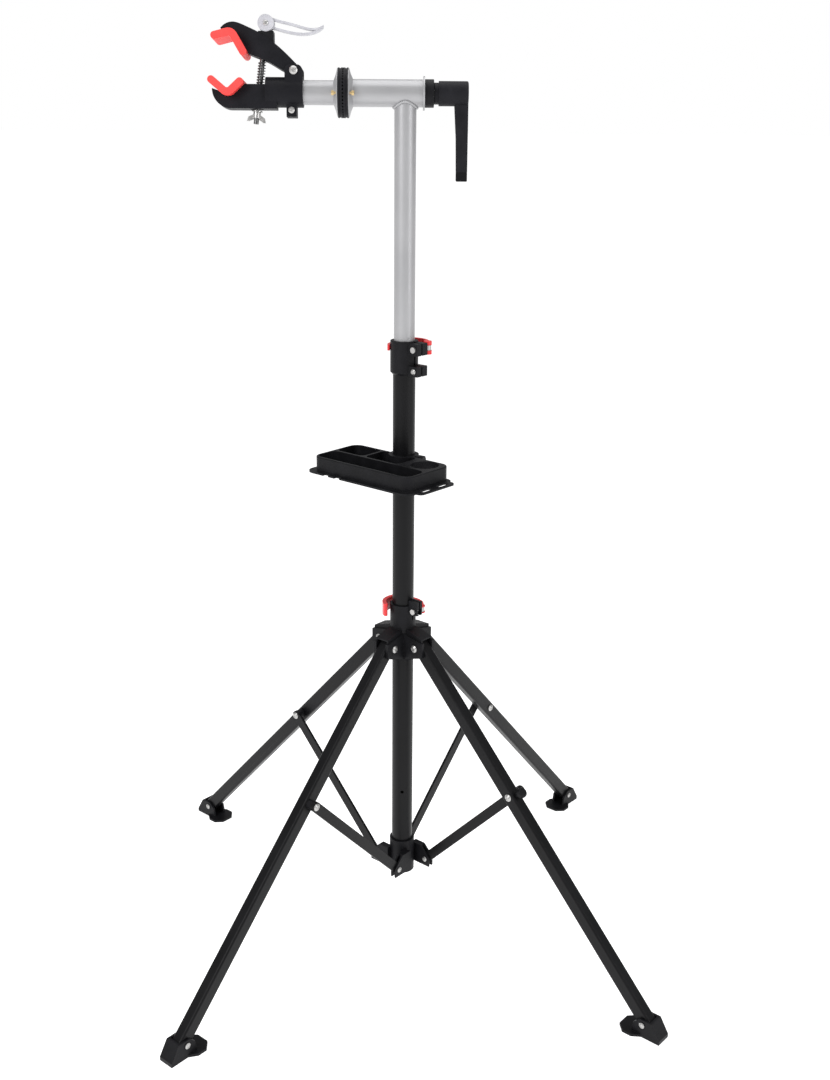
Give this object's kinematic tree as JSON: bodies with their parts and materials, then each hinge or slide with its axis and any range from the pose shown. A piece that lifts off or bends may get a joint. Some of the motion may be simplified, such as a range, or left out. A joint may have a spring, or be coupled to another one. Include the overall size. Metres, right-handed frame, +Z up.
{
  "type": "bicycle repair stand",
  "caption": "Folding work stand with splayed hinged legs, telescoping mast, tool tray and a rotating clamp head with a crank and quick-release levers.",
  "frame": {"origin": "on the floor, on the mast's axis", "axes": "+Z up along the mast; the clamp arm points along -X and the crank is on the +X side; the tray faces front left (-X -Y)"},
  "size_m": [0.8932, 0.8932, 1.6113],
  "materials": {
    "silver_tube": "satin",
    "black_paint": "satin",
    "zinc_steel": "satin",
    "black_plastic": "matte",
    "black_cap": "matte",
    "black_metal": "satin",
    "red_rubber": "matte",
    "red_lever": "gloss",
    "cast_silver": "satin",
    "brass_screw": "satin"
  },
  "bodies": {
    "base": {"outer_mast": "black_paint", "lower_hub": "black_plastic", "lower_hub_rivets": "zinc_steel", "top_collar": "black_plastic", "collar_lever_bolt": "zinc_steel", "collar_pinch_bolt": "zinc_steel"},
    "strut_arm_1": {"strut_1": "black_paint"},
    "strut_arm_2": {"strut_2": "black_paint"},
    "strut_arm_3": {"strut_3": "black_paint"},
    "strut_arm_4": {"strut_4": "black_paint"},
    "leg_arm_1": {"leg_1": "black_paint", "knee_spacer_1": "black_plastic", "leg_rivets_1": "zinc_steel"},
    "shoe_1": {"foot_1": "black_plastic"},
    "leg_arm_2": {"leg_2": "black_paint", "knee_spacer_2": "black_plastic", "leg_rivets_2": "zinc_steel"},
    "shoe_2": {"foot_2": "black_plastic"},
    "leg_arm_3": {"leg_3": "black_paint", "knee_spacer_3": "black_plastic", "leg_rivets_3": "zinc_steel"},
    "shoe_3": {"foot_3": "black_plastic"},
    "leg_arm_4": {"leg_4": "black_paint", "knee_spacer_4": "black_plastic", "leg_rivets_4": "zinc_steel", "leg_knob": "black_plastic"},
    "shoe_4": {"foot_4": "black_plastic"},
    "hub": {"upper_hub": "black_plastic", "upper_hub_rivets": "zinc_steel", "hub_bolt": "zinc_steel"},
    "hub_clamp_lever": {"hub_lever": "red_lever"},
    "collar_clamp_lever": {"collar_lever": "red_lever"},
    "glide": {"mast_glide": "black_plastic"},
    "upper_mast": {"inner_mast": "silver_tube", "head_tube": "silver_tube", "fixed_ring": "black_plastic", "fixed_ring_screws": "brass_screw", "head_bush": "black_plastic"},
    "clamp_arm": {"moving_ring": "black_plastic", "moving_ring_screws": "brass_screw", "arm_tube": "silver_tube", "tension_rod": "zinc_steel", "lower_jaw": "black_metal", "lower_pad": "red_rubber", "hinge_bolt": "zinc_steel", "pinch_bolt": "zinc_steel"},
    "crank": {"crank_handle": "black_plastic", "crank_cap": "black_cap"},
    "top_jaw": {"upper_jaw": "black_metal", "upper_pad": "red_rubber", "cam_saddle": "black_plastic"},
    "rod": {"clamp_rod": "zinc_steel", "cam_pin": "zinc_steel", "clamp_spring": "zinc_steel"},
    "washer": {"nut_washer": "zinc_steel"},
    "nut": {"wing_nut": "zinc_steel"},
    "cam": {"cam_lever": "cast_silver"},
    "tray_slider": {"tray_liner": "black_plastic"},
    "tool_tray": {"tray": "black_plastic", "tray_screw": "black_plastic"}
  },
  "joints": [
    {"name": "fold", "type": "hinge", "parent": "base", "child": "strut_arm_1", "pos_m": [0.02737, 0.03132, 0.11859], "axis": [0.753, -0.658, 0], "range_deg": [0, 38.68]},
    {"name": "strut_2_hinge", "type": "hinge", "parent": "base", "child": "strut_arm_2", "pos_m": [-0.03132, 0.02737, 0.11859], "axis": [0.658, 0.753, 0], "range_deg": [0, 38.68]},
    {"name": "strut_3_hinge", "type": "hinge", "parent": "base", "child": "strut_arm_3", "pos_m": [-0.02737, -0.03132, 0.11859], "axis": [-0.753, 0.658, 0], "range_deg": [0, 38.68]},
    {"name": "strut_4_hinge", "type": "hinge", "parent": "base", "child": "strut_arm_4", "pos_m": [0.03132, -0.02737, 0.11859], "axis": [-0.658, -0.753, 0], "range_deg": [0, 38.68]},
    {"name": "knee_1", "type": "hinge", "parent": "strut_arm_1", "child": "leg_arm_1", "pos_m": [0.16662, 0.19066, 0.34018], "axis": [0.753, -0.658, 0], "range_deg": [-77.36, 0]},
    {"name": "leg_1_hinge", "type": "hinge", "parent": "leg_arm_1", "child": "hub", "pos_m": [0.02737, 0.03132, 0.56177], "axis": [0.753, -0.658, 0], "range_deg": [0, 38.68]},
    {"name": "knee_2", "type": "hinge", "parent": "strut_arm_2", "child": "leg_arm_2", "pos_m": [-0.19066, 0.16662, 0.34018], "axis": [0.658, 0.753, 0], "range_deg": [-77.36, 0]},
    {"name": "knee_3", "type": "hinge", "parent": "strut_arm_3", "child": "leg_arm_3", "pos_m": [-0.16662, -0.19066, 0.34018], "axis": [-0.753, 0.658, 0], "range_deg": [-77.36, 0]},
    {"name": "knee_4", "type": "hinge", "parent": "strut_arm_4", "child": "leg_arm_4", "pos_m": [0.19066, -0.16662, 0.34018], "axis": [-0.658, -0.753, 0], "range_deg": [-77.36, 0]},
    {"name": "foot_1_hinge", "type": "hinge", "parent": "leg_arm_1", "child": "shoe_1", "pos_m": [0.35925, 0.41109, 0.023], "axis": [0.753, -0.658, 0], "range_deg": [-20, 30]},
    {"name": "foot_2_hinge", "type": "hinge", "parent": "leg_arm_2", "child": "shoe_2", "pos_m": [-0.41109, 0.35925, 0.023], "axis": [0.658, 0.753, 0], "range_deg": [-20, 30]},
    {"name": "foot_3_hinge", "type": "hinge", "parent": "leg_arm_3", "child": "shoe_3", "pos_m": [-0.35925, -0.41109, 0.023], "axis": [-0.753, 0.658, 0], "range_deg": [-20, 30]},
    {"name": "foot_4_hinge", "type": "hinge", "parent": "leg_arm_4", "child": "shoe_4", "pos_m": [0.41109, -0.35925, 0.023], "axis": [-0.658, -0.753, 0], "range_deg": [-20, 30]},
    {"name": "hub_lever_hinge", "type": "hinge", "parent": "hub", "child": "hub_clamp_lever", "pos_m": [0.03246, -0.00845, 0.62627], "axis": [0, 0, -1], "range_deg": [0, 100]},
    {"name": "collar_lever_hinge", "type": "hinge", "parent": "base", "child": "collar_clamp_lever", "pos_m": [0.03914, -0.00233, 1.093], "axis": [0, 0, -1], "range_deg": [0, 100]},
    {"name": "mast_slide", "type": "slide", "parent": "base", "child": "glide", "axis": [0, 0, 1], "range_m": [-0.23, 0.2]},
    {"name": "mast_turn", "type": "hinge", "parent": "glide", "child": "upper_mast", "pos_m": [0, 0, 0.705], "axis": [0, 0, 1], "continuous": true},
    {"name": "head_turn", "type": "hinge", "parent": "upper_mast", "child": "clamp_arm", "pos_m": [-0.098, 0, 1.496], "axis": [1, 0, 0], "continuous": true},
    {"name": "crank_turn", "type": "hinge", "parent": "upper_mast", "child": "crank", "pos_m": [0, 0, 1.496], "axis": [1, 0, 0], "continuous": true},
    {"name": "jaw_hinge", "type": "hinge", "parent": "clamp_arm", "child": "top_jaw", "pos_m": [-0.1752, 0.00329, 1.52733], "axis": [0, -0.9945, 0.1045], "range_deg": [-8, 12]},
    {"name": "rod_hinge", "type": "hinge", "parent": "top_jaw", "child": "rod", "pos_m": [-0.2181, 0.01066, 1.59744], "axis": [0, -0.9945, 0.1045], "range_deg": [-6.38, 4.26], "deforming": ["clamp_spring"]},
    {"name": "washer_slide", "type": "slide", "parent": "rod", "child": "washer", "axis": [-0.1229, -0.1037, -0.987], "range_m": [-0.01107, 0.00741]},
    {"name": "nut_turn", "type": "hinge", "parent": "washer", "child": "nut", "pos_m": [-0.23419, -0.00293, 1.46817], "axis": [-0.1229, -0.1037, -0.987], "continuous": true},
    {"name": "cam_hinge", "type": "hinge", "parent": "rod", "child": "cam", "pos_m": [-0.2181, 0.01066, 1.59744], "axis": [0, -0.9945, 0.1045], "range_deg": [0, 140]},
    {"name": "tray_slide", "type": "slide", "parent": "base", "child": "tray_slider", "axis": [0, 0, 1], "range_m": [-0.06, 0.1]},
    {"name": "tray_turn", "type": "hinge", "parent": "tray_slider", "child": "tool_tray", "pos_m": [0, 0, 0.9086], "axis": [0, 0, 1], "continuous": true}
  ],
  "couplings": [
    {"joint": "strut_2_hinge", "follows": "fold", "ratio": 1},
    {"joint": "strut_3_hinge", "follows": "fold", "ratio": 1},
    {"joint": "strut_4_hinge", "follows": "fold", "ratio": 1},
    {"joint": "knee_1", "follows": "fold", "ratio": -2},
    {"joint": "leg_1_hinge", "follows": "fold", "ratio": 1},
    {"joint": "knee_2", "follows": "fold", "ratio": -2},
    {"joint": "knee_3", "follows": "fold", "ratio": -2},
    {"joint": "knee_4", "follows": "fold", "ratio": -2},
    {"joint": "rod_hinge", "follows": "jaw_hinge", "ratio": -0.5307},
    {"joint": "washer_slide", "follows": "jaw_hinge", "m_per_rad": -0.05236}
  ]
}
